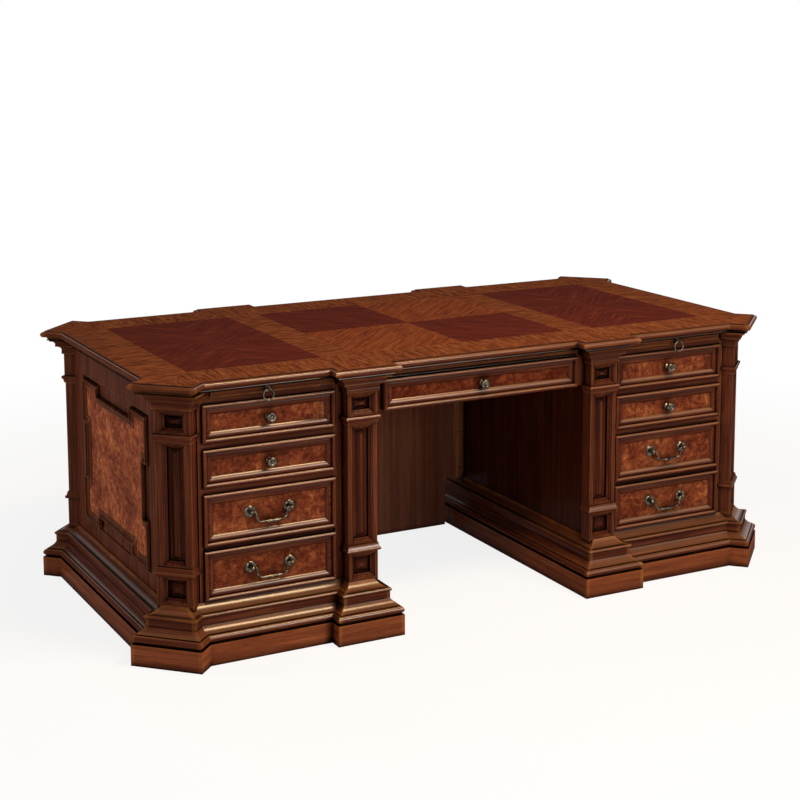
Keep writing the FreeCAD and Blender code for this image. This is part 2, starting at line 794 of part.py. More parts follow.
def build_drawers():
    side = drawer_gap + front_lap - side_lap
    x0, x1 = opening_inner + side, opening_outer - side
    box_x0, box_x1 = opening_inner + box_side_play, opening_outer - box_side_play
    for name, z, height, drop in drawer_levels():
        if name == "file_drawer":
            half = (height - false_rail) / 2
            foot = z + front_lap - foot_lap
            front = fused([moulded_front(x0, x1, foot, z + half, front_proud, front_lap),
                           moulded_front(x0, x1, z + height - half, z + height, front_proud, front_lap),
                           box(x0, x1, -front_face, -front_back_face, z + half, z + height - half)])
        else:
            front = moulded_front(x0, x1, z, z + height, front_proud, front_lap)
        keep_pair(name + "_front", [front])
        keep_pair(name + "_box", drawer_box(box_x0, box_x1, z + box_lift, z + height - drop,
                                            -front_back_face, box_depth))
    z = slot_z - middle_height
    front = moulded_front(-middle_half, middle_half, z, slot_z - drawer_gap, middle_proud, 0)
    keep("middle_drawer_front", [front])
    keep("middle_drawer_box", drawer_box(-middle_box_half, middle_box_half, z + box_lift, slot_z - box_drop,
                                         -front_back_face, middle_depth))


# Turned knobs

def knob(x, field, z):
    r, n, foot, out = knob_head, knob_neck, knob_foot, knob_length
    profile = [(0, 0), (foot, 0), (foot, out * 0.07), (foot * 0.8, out * 0.14), (n, out * 0.24),
               (n, out * 0.38), (r * 0.8, out * 0.48, r, out * 0.66), (r, out * 0.72),
               (r * 0.86, out * 0.86, r * 0.55, out * 0.9), (r * 0.42, out * 0.88),
               (r * 0.3, out * 0.96, r * 0.1, out), (0, out)]
    return revolved(profile, x, -field, z)


def build_knobs():
    for name, z in (("top_knob", first_z), ("second_knob", second_z)):
        keep_pair(name, [knob(opening_middle, field_face, z + box_height / 2)])
    middle_field = front_face + middle_proud - field_depth
    keep("middle_knob", [knob(0, middle_field, slot_z - (middle_height + drawer_gap) / 2)])


# Bail handles

def quarter_turn(start, centre, end):
    # a quarter circle, by the point halfway round it
    middle = start + end - centre * 2
    middle.normalize()
    return Part.Arc(start, centre + middle * start.distanceToPoint(centre), end).toShape()


def bail(x, y, z):
    # from each pin a short neck turns down into an arm, and the arms turn in to a collared bridge
    start = bail_half - ball_radius - ball_gap
    neck = Vector(start - bail_start, 0, 0)
    arm_top = Vector(neck.x - bail_bend, 0, -bail_bend)
    arm_end = Vector(arm_top.x, 0, bail_round - bail_drop)
    foot = Vector(arm_end.x - bail_round, 0, -bail_drop)
    half = [Part.LineSegment(Vector(start, 0, 0), neck).toShape(),
            quarter_turn(neck, Vector(neck.x, 0, -bail_bend), arm_top),
            Part.LineSegment(arm_top, arm_end).toShape(),
            quarter_turn(arm_end, Vector(foot.x, 0, arm_end.z), foot)]
    bridge = Part.LineSegment(foot, Vector(-foot.x, 0, foot.z)).toShape()
    other = [edge.mirror(Vector(0, 0, 0), Vector(1, 0, 0)) for edge in reversed(half)]
    path = Part.Wire(half + [bridge] + other)
    section = Part.Wire(Part.makeCircle(bail_wire, Vector(start, 0, 0), Vector(1, 0, 0)))
    # the bridge swells towards its collars
    near, far = (Vector(x, 0, foot.z + bail_wire) for x in (foot.x, -foot.x))
    swell = Part.Arc(near, Vector(0, 0, foot.z + bail_swell), far).toShape()
    sides = [Part.LineSegment(foot, near).toShape(),
             Part.LineSegment(far, Vector(-foot.x, 0, foot.z)).toShape()]
    spindle = Part.Face(Part.Wire([sides[0], swell, sides[1], bridge]))
    pieces = [path.makePipeShell([section], True, False), spindle.revolve(foot, Vector(1, 0, 0), 360)]
    for i in (-1, 0, 1):
        end = Vector(i * collar_pitch - collar_length / 2, 0, foot.z)
        pieces.append(Part.makeCylinder(collar_radius, collar_length, end, Vector(1, 0, 0)))
    for side in (-1, 1):
        pin = Part.makeCylinder(bail_pin, ball_radius, Vector(side * start, 0, 0), Vector(side, 0, 0))
        pieces.append(pin)
    whole = fused(pieces)
    whole.translate(Vector(x, y, z))
    return whole


def bail_post(x, y_field, y, z, side):
    # a rosette, a stem and a ball with a hole for the bail's pin
    plate = revolved([(0, 0), (rosette, 0), (rosette, rosette_thick * 0.35),
                      (rosette * 0.85, rosette_thick * 0.85, rosette * 0.6, rosette_thick),
                      (0, rosette_thick)], x, y_field, z)
    stem = Part.makeCylinder(post_stem, bail_standoff, Vector(x, y_field, z), Vector(0, -1, 0))
    ball = Part.makeSphere(ball_radius, Vector(x, y, z))
    hole = Part.makeCylinder(bail_pin + pin_play, ball_radius + ball_gap, Vector(x, y, z),
                             Vector(-side, 0, 0))
    return plate.fuse(stem).fuse(ball).cut(hole).removeSplitter()


def bail_heights():
    half = (file_height - false_rail) / 2
    return (("upper_bail", file_z + file_height - half / 2 + bail_raise),
            ("lower_bail", file_z + half / 2 + bail_raise))


def build_bails():
    y = -field_face - bail_standoff
    for pedestal, x in (("right_", opening_middle), ("left_", -opening_middle)):
        posts = []
        for name, z in bail_heights():
            keep(pedestal + name, [bail(x, y, z)])
            for side in (-1, 1):
                posts.append(bail_post(x + side * bail_half, -field_face, y, z, side))
        keep(pedestal + "bail_posts", posts)


# Writing slides and their ring pulls

def lip_profile(z0, z1):
    depth, rise = lip_thickness, z1 - z0
    return [(0, z0), (depth * 0.35, z0), (depth * 0.42, z0 + rise * 0.28, depth * 0.62, z0 + rise * 0.42),
            (depth * 0.75, z0 + rise * 0.42), (depth * 0.75, z0 + rise * 0.53),
            (depth * 0.82, z0 + rise * 0.74, depth, z0 + rise * 0.85), (depth, z1), (0, z1)]


def build_slides():
    z0 = slot_z + slide_play
    z1 = z0 + slide_thickness
    lip_back = front_face + lip_proud - lip_thickness
    board = box(slide_centre - slide_half, slide_centre + slide_half, -lip_back,
                -lip_back + slide_depth, z0, z1)
    path = [(slide_centre + slide_lip_half, -lip_back), (slide_centre - slide_lip_half, -lip_back)]
    lip = mitred_run(path, lip_profile(z0, z1), closed=False)
    keep_pair("writing_slide", [board] + lip)


def build_rings():
    z = slot_z + slide_play + slide_thickness - eye_below
    strip = -front_face - lip_proud
    y = strip - eye_standoff
    hole = ring_wire + ring_play
    eye = Part.makeTorus(hole + eye_wire, eye_wire, Vector(slide_centre, y, z), Vector(1, 0, 0))
    stem = Part.makeCylinder(eye_wire, eye_standoff - hole - eye_wire / 2, Vector(slide_centre, strip, z),
                             Vector(0, -1, 0))
    plate = Part.makeCylinder(eye_plate, eye_plate_thick, Vector(slide_centre, strip, z), Vector(0, -1, 0))
    keep_pair("ring_eye", [fused([plate, stem, eye])])
    keep_pair("pull_ring", [Part.makeTorus(ring_radius, ring_wire, Vector(slide_centre, y, z - ring_radius),
                                           Vector(0, 1, 0))])


# Frieze bands under the top, and the rear apron

def band_profile():
    z0, z1 = slot_z, top_z
    rise = z1 - z0
    return [(0, z0), (-band_proud * 0.3, z0), (-band_proud * 0.36, z0 + rise * 0.3,
            -band_proud * 0.6, z0 + rise * 0.42), (-band_proud * 0.7, z0 + rise * 0.42),
            (-band_proud * 0.7, z0 + rise * 0.52), (-band_proud * 0.76, z0 + rise * 0.78,
            -band_proud, z0 + rise * 0.88), (-band_proud, z1), (0, z1)]


def straight_band(start, end):
    return mitred_run([start, end], band_profile(), closed=False)


def build_frieze():
    cap_inner = pilaster_centre - pilaster_width / 2 - cap_flare - band_gap
    reach_front = cap_ends()[0] + front_face
    reach_side = side_face - cap_ends()[1]
    bands = straight_band((-cap_inner, -front_face), (cap_inner, -front_face))
    bands += straight_band((cap_inner, front_face), (-cap_inner, front_face))
    pair = straight_band((cap_outer, -front_face), (strip_inner - band_gap, -front_face))
    pair += straight_band((side_face, -reach_side), (side_face, reach_side))
    pair += straight_band((reach_front, front_face), (cap_outer, front_face))
    apron = box(-knee_face, knee_face, frame_back, front_face, top_z - rear_apron, top_z)
    keep("frieze_bands", bands + pair + [mirrored(solid) for solid in pair] + [apron])


# Modesty panel and the cleats that carry it

def build_modesty():
    y0, y1 = modesty_front, modesty_front + modesty_thickness
    modesty_half = knee_face - modesty_side
    modesty_foot_half = plinth_inner - modesty_foot_side
    modesty_foot = base_top + modesty_foot_rise
    upper = box(-modesty_half, modesty_half, y0, y1, modesty_foot, top_z)
    foot = box(-modesty_foot_half, modesty_foot_half, y0, y1, modesty_clear, modesty_foot)
    keep("modesty_panel", [upper.fuse(foot).removeSplitter()])
    cleat = box(knee_face - cleat_width, knee_face, y1, y1 + cleat_thickness, base_top, top_z)
    for rise in cleat_holes:
        start = Vector(knee_face - cleat_hole_in, y1, base_top + rise)
        cleat = cleat.cut(Part.makeCylinder(cleat_hole, cleat_thickness, start, Vector(0, 1, 0)))
    keep("modesty_cleats", [cleat, mirrored(cleat)])


# Top, with its solid rounded edge and inlaid veneers

def nose_profile():
    # a hollow, the round, a quirk over it and the rebate for the veneer
    z0, z1 = nose_z, desk_height
    crown = z1 - nose_quirk
    back = top_lipping
    return [(back, top_z), (under_in, top_z), (under_in + under_sag, (top_z + z0) / 2, nose_in, z0),
            (nose_bulge, z0), (0, (z0 + crown) / 2, nose_bulge, crown), (nose_in, crown), (nose_in, z1),
            (veneer_margin, z1), (veneer_margin, z1 - veneer), (back, z1 - veneer)]


def build_top():
    plan = top_plan()
    core = prism(inset(plan, top_lipping), top_z, desk_height - veneer)
    keep("top_board", [core] + mitred_run(plan, nose_profile()))
    low, high = desk_height - veneer, desk_height
    field_front = top_front - front_border
    field_inner = field_centre + field_band
    field_outer = top_side - side_border
    fields = [box(-field_centre, 0, -field_front, 0, low, high),
              box(0, field_centre, -field_front, 0, low, high),
              box(-field_centre, 0, 0, field_front, low, high),
              box(0, field_centre, 0, field_front, low, high),
              box(field_inner, field_outer, -field_front, field_front, low, high),
              box(-field_outer, -field_inner, -field_front, field_front, low, high)]
    keep("top_fields", fields)
    bands = prism(inset(plan, veneer_margin), low, high)
    for field in fields:
        bands = bands.cut(field)
    keep("top_bands", bands.Solids)


build_top()
build_frieze()
build_pilasters()
build_plinths()
build_front_frames()
build_knee_sides()
build_sides()
build_backs()
build_modesty()
build_guides()
build_middle_guides()
build_drawers()
build_knobs()
build_bails()
build_slides()
build_rings()

os.makedirs("parts", exist_ok=True)
for name, shape in parts.items():
    shape.exportStep("parts/" + name + ".step")
print(len(parts), "nodes,", sum(len(shape.Solids) for shape in parts.values()), "solids,",
      "all valid" if all(shape.isValid() for shape in parts.values()) else "some not valid")
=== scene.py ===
import bpy
import math
from mathutils import Matrix, Vector


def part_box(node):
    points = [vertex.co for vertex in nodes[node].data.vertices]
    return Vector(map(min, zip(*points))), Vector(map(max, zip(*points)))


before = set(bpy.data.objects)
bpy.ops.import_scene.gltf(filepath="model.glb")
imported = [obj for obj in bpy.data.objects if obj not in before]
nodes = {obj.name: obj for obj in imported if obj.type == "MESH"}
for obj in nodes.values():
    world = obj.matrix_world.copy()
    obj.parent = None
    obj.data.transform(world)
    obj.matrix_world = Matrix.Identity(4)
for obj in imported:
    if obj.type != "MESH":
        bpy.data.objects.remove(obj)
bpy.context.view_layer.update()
scene = bpy.context.scene
scene.view_settings.view_transform = "Standard"
print("frame loaded:", len(nodes), "nodes")


def linear(hexColour):
    # sRGB hex to the linear colour that the sockets take
    values = [int(hexColour[i:i + 2], 16) / 255 for i in (1, 3, 5)]
    return [v / 12.92 if v <= 0.04045 else ((v + 0.055) / 1.055) ** 2.4 for v in values] + [1.0]


def add(tree, kind, settings=None, links=None):
    # one node with its settings, socket values and links. A ramp takes its stops, and a Map Range the two
    # values that it lies between and the two that it gives. A Mix has its share in socket 0, numbers in 2
    # and 3, vectors in 4 and 5 and colours in 6 and 7
    node = tree.nodes.new(kind)
    for key, value in (settings or {}).items():
        if key == "stops":
            ramp = node.color_ramp
            while len(ramp.elements) < len(value):
                ramp.elements.new(0.5)
            for element, (place, colour) in zip(ramp.elements, value):
                element.position = place
                element.color = linear(colour)
        elif key == "between":
            node.inputs["From Min"].default_value, node.inputs["From Max"].default_value = value
        elif key == "gives":
            node.inputs["To Min"].default_value, node.inputs["To Max"].default_value = value
        elif isinstance(key, int) or key in node.inputs:
            node.inputs[key].default_value = value
        else:
            setattr(node, key, value)
    for key, source in (links or {}).items():
        tree.links.new(source, node.inputs[key])
    return node


def perMetre(millimetres):
    # a pattern's scale from its real size in millimetres
    return 1000.0 / millimetres


def newMaterial(name):
    material = bpy.data.materials.new(name)
    material.use_nodes = True
    material.node_tree.nodes.clear()
    return material, material.node_tree


# walnut stained red-brown, given a glaze and French polished: close straight grain; glaze and painted shade
# darken every quirk, hollow and inside corner; edges rubbed paler, as wear and painted highlight; upper
# rounds of mouldings painted paler as a highlight; and a soft shine of the coat, strongest on those rounds
walnut = {
    "dark": "#371a14", "middle": "#4c2519", "light": "#633824", "figure": (0.3, 0.5, 0.72),
    "glazeAndShade": "#080302", "rubbedAndHighlight": "#94602f", "paintedHighlight": "#b98c5c", "fleck": "#1a0904",
    "grainLength": 260.0, "grainWidth": 9.0,                # mm, a dark streak
    "poreLength": 34.0, "poreWidth": 3.2,                   # mm, coarser than real pores so that they show
    "poreMark": (0.56, 0.74), "poreShare": 0.4,             # noise that marks a pore, and how dark it gets
    "toneLength": 700.0, "toneWidth": 70.0,                 # mm, a slow change of tone
    "toneNoise": (0.3, 0.7), "toneRange": (0.84, 1.16),
    "glazeAndShadeReach": 0.026, "rubReach": 0.006, "edge": 0.0024,             # m
    "wearPatch": 60.0, "wearNoise": (0.35, 0.65), "wearLeast": 0.3,     # mm, how the rubbing comes and goes
    "hollow": (0.94, 0.52), "ridge": (0.85, 0.5), "solid": (0.8, 0.95),  # shares of open space and of wood
    # the glaze and painted shade along a rounded inside corner
    "bend": (0.99, 0.9), "creaseGlazeAndShade": 0.9,                # how far a rounded edge turns, and its glaze
    "upper": (0.05, 0.4), "level": (0.9, 0.98), "sideways": (0.3, 0.6),  # ways that a surface faces
    "rub": 0.4, "paintedHighlightShare": 0.12, "bump": 0.12, "poreDepth": 0.0006,
    "roughness": 0.4, "glazeAndShadeRoughness": 0.75, "coat": 0.05, "burnished": 1.0, "coatRoughness": 0.24,
    "ior": 1.5, "feelers": 6, "edgeFeelers": 4,             # rays that look for hollows and edges
}

levelLean = (0, -0.0023, 0)     # a level face leans a hair to the front, so its grain runs from side to side


def alongGrain(tree, direction):
    # place on the desk turned so that its first value runs along the grain
    place = add(tree, "ShaderNodeTexCoord").outputs["Object"]
    if direction == "x":
        return place
    parts = add(tree, "ShaderNodeSeparateXYZ", {}, {0: place}).outputs
    if direction == "run":
        # along whatever level length the surface belongs to
        facing = add(tree, "ShaderNodeNewGeometry").outputs["True Normal"]
        leant = add(tree, "ShaderNodeVectorMath", {"operation": "ADD", 1: levelLean}, {0: facing})
        across = add(tree, "ShaderNodeVectorMath", {"operation": "CROSS_PRODUCT", 1: (0, 0, 1)},
                     {0: leant.outputs[0]})
        along = add(tree, "ShaderNodeVectorMath", {"operation": "NORMALIZE"}, {0: across.outputs[0]})
        outward = add(tree, "ShaderNodeVectorMath", {"operation": "CROSS_PRODUCT", 1: (0, 0, 1)},
                      {0: along.outputs[0]})
        turned = add(tree, "ShaderNodeCombineXYZ", {}, {2: parts["Z"]})
        for socket, way in enumerate((along, outward)):
            length = add(tree, "ShaderNodeVectorMath", {"operation": "DOT_PRODUCT"},
                         {0: place, 1: way.outputs[0]})
            tree.links.new(length.outputs["Value"], turned.inputs[socket])
        return turned.outputs[0]
    order = {"up": "ZXY", "y": "YXZ"}[direction]
    turned = add(tree, "ShaderNodeCombineXYZ", {}, {i: parts[axis] for i, axis in enumerate(order)})
    return turned.outputs[0]


def streaks(tree, grain, length, width, detail, distortion=0.4):
    # noise drawn out along the grain, from a streak's length and width in millimetres
    scale = (perMetre(length), perMetre(width), perMetre(width))
    stretched = add(tree, "ShaderNodeVectorMath", {"operation": "MULTIPLY", 1: scale}, {0: grain})
    noise = add(tree, "ShaderNodeTexNoise",
                {"Scale": 1.0, "Detail": detail, "Roughness": 0.6, "Distortion": distortion},
                {"Vector": stretched.outputs[0]})
    return noise.outputs["Fac"]


def walnutColour(tree, grain, look):
    # streaks, a slow change of tone and dark pores
    figure = streaks(tree, grain, look["grainLength"], look["grainWidth"], detail=5.0)
    shades = (look["dark"], look["middle"], look["light"])
    colour = add(tree, "ShaderNodeValToRGB", {"stops": list(zip(look["figure"], shades))}, {0: figure})
    tone = add(tree, "ShaderNodeMapRange", {"between": look["toneNoise"], "gives": look["toneRange"]},
               {0: streaks(tree, grain, look["toneLength"], look["toneWidth"], detail=2.0)})
    toned = add(tree, "ShaderNodeMix", {"data_type": "RGBA", "blend_type": "MULTIPLY", 0: 1.0},
                {6: colour.outputs[0], 7: tone.outputs[0]})
    pores = streaks(tree, grain, look["poreLength"], look["poreWidth"], detail=2.0)
    mark = add(tree, "ShaderNodeMapRange", {"between": look["poreMark"], "gives": (0.0, look["poreShare"])},
               {0: pores})
    marked = add(tree, "ShaderNodeMix", {"data_type": "RGBA", 7: linear(look["fleck"])},
                 {0: mark.outputs[0], 6: toned.outputs[2]})
    return marked.outputs[2], pores


def upperRounds(tree, surface, look, masks):
    # how far a surface is an upper round that looks to the front or back, within the masks: the painted
    # highlight lies there, and the coat is burnished there
    facing = add(tree, "ShaderNodeSeparateXYZ", {}, {0: surface}).outputs
    upper = add(tree, "ShaderNodeMapRange", {"between": look["upper"]}, {0: facing["Z"]})
    slope = add(tree, "ShaderNodeMapRange", {"between": look["level"], "gives": (1.0, 0.0)}, {0: facing["Z"]})
    sideways = add(tree, "ShaderNodeMath", {"operation": "ABSOLUTE"}, {0: facing["X"]})
    ahead = add(tree, "ShaderNodeMapRange", {"between": look["sideways"], "gives": (1.0, 0.0)},
                {0: sideways.outputs[0]})
    share = upper.outputs[0]
    for mask in [slope.outputs[0], ahead.outputs[0]] + masks:
        share = add(tree, "ShaderNodeMath", {"operation": "MULTIPLY"}, {0: share, 1: mask}).outputs[0]
    return share


def polished(tree, colour, pores, look, moulded=None):
    # the painted highlight on upper rounds, the rubbed edges (wear and painted highlight), the glaze and
    # painted shade in the quirks and hollows, and the polish over a wood's colour. Where there are mouldings,
    # moulded lists their masks, and is empty for a wood that is moulding all over
    # painted shade: where the occlusion finds a hollow the wood is darkened towards the near-black glaze
    # colour, partly glaze and partly shade
    hollow = add(tree, "ShaderNodeAmbientOcclusion",
                 {"samples": look["feelers"], "Distance": look["glazeAndShadeReach"]})
    depth = add(tree, "ShaderNodeMapRange", {"between": look["hollow"]}, {0: hollow.outputs["AO"]})
    ridge = add(tree, "ShaderNodeAmbientOcclusion",
                {"samples": look["feelers"], "inside": True, "Distance": look["rubReach"]})
    patch = add(tree, "ShaderNodeTexNoise", {"Scale": perMetre(look["wearPatch"]), "Detail": 4.0},
                {"Vector": add(tree, "ShaderNodeTexCoord").outputs["Object"]})
    wear = add(tree, "ShaderNodeMapRange",
               {"between": look["wearNoise"], "gives": (look["wearLeast"] * look["rub"], look["rub"])},
               {0: patch.outputs["Fac"]})
    edge = add(tree, "ShaderNodeMapRange", {"between": look["ridge"]},
               {0: ridge.outputs["AO"], "To Max": wear.outputs[0]})
    # glaze and painted shade also darken every inside corner, where the rounded normal turns and the wood
    # behind is thick
    rounded = add(tree, "ShaderNodeBevel", {"samples": look["edgeFeelers"], "Radius": look["edge"]})
    surface = add(tree, "ShaderNodeNewGeometry").outputs["Normal"]
    turn = add(tree, "ShaderNodeVectorMath", {"operation": "DOT_PRODUCT"},
               {0: rounded.outputs[0], 1: surface})
    corner = add(tree, "ShaderNodeMapRange", {"between": look["bend"], "gives": (0.0, look["creaseGlazeAndShade"])},
                 {0: turn.outputs["Value"]})
    thick = add(tree, "ShaderNodeMapRange", {"between": look["solid"]}, {0: ridge.outputs["AO"]})
    crease = add(tree, "ShaderNodeMath", {"operation": "MULTIPLY"},
                 {0: corner.outputs[0], 1: thick.outputs[0]})
    dark = add(tree, "ShaderNodeMath", {"operation": "MAXIMUM"}, {0: depth.outputs[0], 1: crease.outputs[0]})
    if moulded is not None:
        # painted highlight: these upper rounds are painted a paler tan, and their coat is burnished most
        share = upperRounds(tree, surface, look, moulded)
        paintedHighlight = add(tree, "ShaderNodeMapRange", {"gives": (0.0, look["paintedHighlightShare"])}, {0: share})
        highlightPainted = add(tree, "ShaderNodeMix", {"data_type": "RGBA", 7: linear(look["paintedHighlight"])},
                    {0: paintedHighlight.outputs[0], 6: colour})
        colour = highlightPainted.outputs[2]
    # rubbed edges: wear on every convex edge, and with it a painted highlight on the beads and rounds
    worn = add(tree, "ShaderNodeMix", {"data_type": "RGBA", 7: linear(look["rubbedAndHighlight"])},
               {0: edge.outputs[0], 6: colour})
    # glaze and painted shade: the hollow and crease masks mix in the near-black glaze colour
    glazeAndShaded = add(tree, "ShaderNodeMix", {"data_type": "RGBA", 7: linear(look["glazeAndShade"])},
                 {0: dark.outputs[0], 6: worn.outputs[2]})
    dull = add(tree, "ShaderNodeMapRange", {"gives": (look["roughness"], look["glazeAndShadeRoughness"])},
               {0: dark.outputs[0]})
    relief = add(tree, "ShaderNodeBump", {"Strength": look["bump"], "Distance": look["poreDepth"]},
                 {"Height": pores, "Normal": rounded.outputs[0]})
    # the wood itself is dull, and all its shine is the polish, a coat over it
    shader = add(tree, "ShaderNodeBsdfPrincipled",
                 {"IOR": look["ior"], "Specular IOR Level": 0.0, "Coat Weight": look["coat"],
                  "Coat Roughness": look["coatRoughness"]},
                 {"Base Color": glazeAndShaded.outputs[2], "Roughness": dull.outputs[0], "Normal": relief.outputs[0]})
    if moulded is not None:
        shine = add(tree, "ShaderNodeMapRange", {"gives": (look["coat"], look["burnished"])}, {0: share})
        tree.links.new(shine.outputs[0], shader.inputs["Coat Weight"])
    add(tree, "ShaderNodeOutputMaterial", {}, {"Surface": shader.outputs[0]})


def walnutMaterial(name, direction, changes=None, moulded=None):
    look = {**walnut, **(changes or {})}
    material, tree = newMaterial(name)
    colour, pores = walnutColour(tree, alongGrain(tree, direction), look)
    polished(tree, colour, pores, look, moulded)
    return material


# front frames: the glaze and painted shade stay close to the quirks, so the rails between the drawers keep
# their colour
frontFrame = {"glazeAndShadeReach": 0.010, "railClear": 0.002}      # m
frontLow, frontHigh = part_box("right_top_drawer_front")


def frameMaterial(name):
    # stiles upright, the rails between the drawers along the front
    material, tree = newMaterial(name)
    place = add(tree, "ShaderNodeTexCoord").outputs["Object"]
    parts = add(tree, "ShaderNodeSeparateXYZ", {}, {0: place}).outputs
    away = add(tree, "ShaderNodeMath", {"operation": "ABSOLUTE"}, {0: parts["X"]})
    centre = (frontLow.x + frontHigh.x) / 2
    half = (frontHigh.x - frontLow.x) / 2 + frontFrame["railClear"]
    rail = add(tree, "ShaderNodeMath", {"operation": "COMPARE", 1: centre, 2: half}, {0: away.outputs[0]})
    turned = add(tree, "ShaderNodeMix", {"data_type": "VECTOR"},
                 {0: rail.outputs[0], 4: alongGrain(tree, "up"), 5: alongGrain(tree, "x")})
    colour, pores = walnutColour(tree, turned.outputs[1], walnut)
    polished(tree, colour, pores, {**walnut, **frontFrame})
    return material


# heights in metres of the two necks and the cap, which run across a pilaster
pilaster = {"across": [(0.241, 0.263), (0.612, 0.634), (0.703, 0.760)]}


def pilasterMaterial(name):
    # blocks and shaft upright, necks and cap along their lengths
    material, tree = newMaterial(name)
    place = add(tree, "ShaderNodeTexCoord").outputs["Object"]
    parts = add(tree, "ShaderNodeSeparateXYZ", {}, {0: place}).outputs
    across = None
    for low, high in pilaster["across"]:
        here = add(tree, "ShaderNodeMath",
                   {"operation": "COMPARE", 1: (low + high) / 2, 2: (high - low) / 2}, {0: parts["Z"]})
        if across:
            here = add(tree, "ShaderNodeMath", {"operation": "MAXIMUM"}, {0: across, 1: here.outputs[0]})
        across = here.outputs[0]
    turned = add(tree, "ShaderNodeMix", {"data_type": "VECTOR"},
                 {0: across, 4: alongGrain(tree, "up"), 5: alongGrain(tree, "run")})
    colour, pores = walnutColour(tree, turned.outputs[1], walnut)
    # the upper rounds of the necks and cap get the painted highlight
    polished(tree, colour, pores, walnut, [across])
    return material


# plinth: plain brown boards below, and above them a base moulding with glaze and painted shade in a dark line
# wherever one member meets the next, standing in for the shaded quirk there; the moulding's upper rounds get
# the painted highlight
plinth = {
    "board": {"dark": "#562c1b", "middle": "#683823", "light": "#7a462c", "grainWidth": 14.0},
    "boardTop": 0.0605, "lines": [0.0622, 0.0858, 0.1054, 0.1262, 0.1362],      # m, heights
    "lineHalf": 0.0015, "lineGlazeAndShade": 0.85, "rubReach": 0.010,
}


def plinthMaterial(name):
    material, tree = newMaterial(name)
    place = add(tree, "ShaderNodeTexCoord").outputs["Object"]
    height = add(tree, "ShaderNodeSeparateXYZ", {}, {0: place}).outputs["Z"]
    above = add(tree, "ShaderNodeMath", {"operation": "GREATER_THAN", 1: plinth["boardTop"]}, {0: height})
    grain = alongGrain(tree, "run")
    board = walnutColour(tree, grain, {**walnut, **plinth["board"]})[0]
    moulding, pores = walnutColour(tree, grain, walnut)
    colour = add(tree, "ShaderNodeMix", {"data_type": "RGBA"}, {0: above.outputs[0], 6: board, 7: moulding})
    for line in plinth["lines"]:
        here = add(tree, "ShaderNodeMath", {"operation": "COMPARE", 1: line, 2: plinth["lineHalf"]},
                   {0: height})
        lineShade = add(tree, "ShaderNodeMath", {"operation": "MULTIPLY", 1: plinth["lineGlazeAndShade"]},
                     {0: here.outputs[0]})
        colour = add(tree, "ShaderNodeMix", {"data_type": "RGBA", 7: linear(walnut["glazeAndShade"])},
                     {0: lineShade.outputs[0], 6: colour.outputs[2]})
    polished(tree, colour.outputs[2], pores, {**walnut, "rubReach": plinth["rubReach"]},
             [above.outputs[0]])
    return material


walnutFrame = frameMaterial("walnut polished, front frames")
walnutPilaster = pilasterMaterial("walnut polished, pilasters")
walnutPlinth = plinthMaterial("walnut polished, plinth")
walnutUp = walnutMaterial("walnut polished, upright", "up")
walnutRail = walnutMaterial("walnut polished, rails", "x")

# edge of the top and the bands under it: the rubbed edge, wear and painted highlight, reaches further over
# their rounds, and all their upper rounds get the painted highlight
mouldingLength = {"rubReach": 0.012}        # m
walnutRun = walnutMaterial("walnut polished, moulding lengths", "run", mouldingLength, moulded=[])

# kneehole veneer: the same cut as the modesty panel, made very dark as painted shade for the shaded kneehole;
# wide quiet stripes, no rubbed edges
kneeholeShaded = {"dark": "#290f08", "middle": "#35160c", "light": "#411e11",
            "grainWidth": 16.0, "grainLength": 600.0, "rub": 0.0}
kneeShadedVeneer = walnutMaterial("walnut veneer polished, kneehole", "up", kneeholeShaded)

# modesty panel veneer: the same cut, lighter and browner
modesty = {**kneeholeShaded, "dark": "#4f2e20", "middle": "#5b3528", "light": "#67402f"}
modestyVeneer = walnutMaterial("walnut veneer polished, modesty panel", "up", modesty)

# cleats: sealed but unstained, so paler and duller
cleats = {"dark": "#4b2a1b", "middle": "#6d432c", "light": "#80543a", "rub": 0.3, "roughness": 0.5}
cleatWood = walnutMaterial("walnut sealed, cleats", "up", cleats)
print("walnut done")

# burl veneer: swirling mottled figure with small dark eyes and pale orange flames, under the same polish
burl = {
    "drawerStops": [(0.3, "#3d1a12"), (0.46, "#5a2a1a"), (0.58, "#713d26"), (0.74, "#965c38")],
    "leafStops": [(0.3, "#4f2318"), (0.46, "#743822"), (0.58, "#904f31"), (0.74, "#b97446")],
    "eye": "#2c0f07", "fleck": "#a06234",
    "swirl": 34.0, "bend": 0.016, "mottle": 16.0, "cloud": 85.0, "cloudShare": 0.5,     # mm, m, mm, mm, share
    "eyeSpacing": 15.0, "eyeSize": (0.08, 0.26), "eyeShare": 0.5,                       # mm, share of spacing
    "fleckLength": 9.0, "fleckWidth": 2.6, "fleckMark": (0.58, 0.75), "fleckShare": 0.4,    # mm
    "rub": 0.0, "bump": 0.03,
}


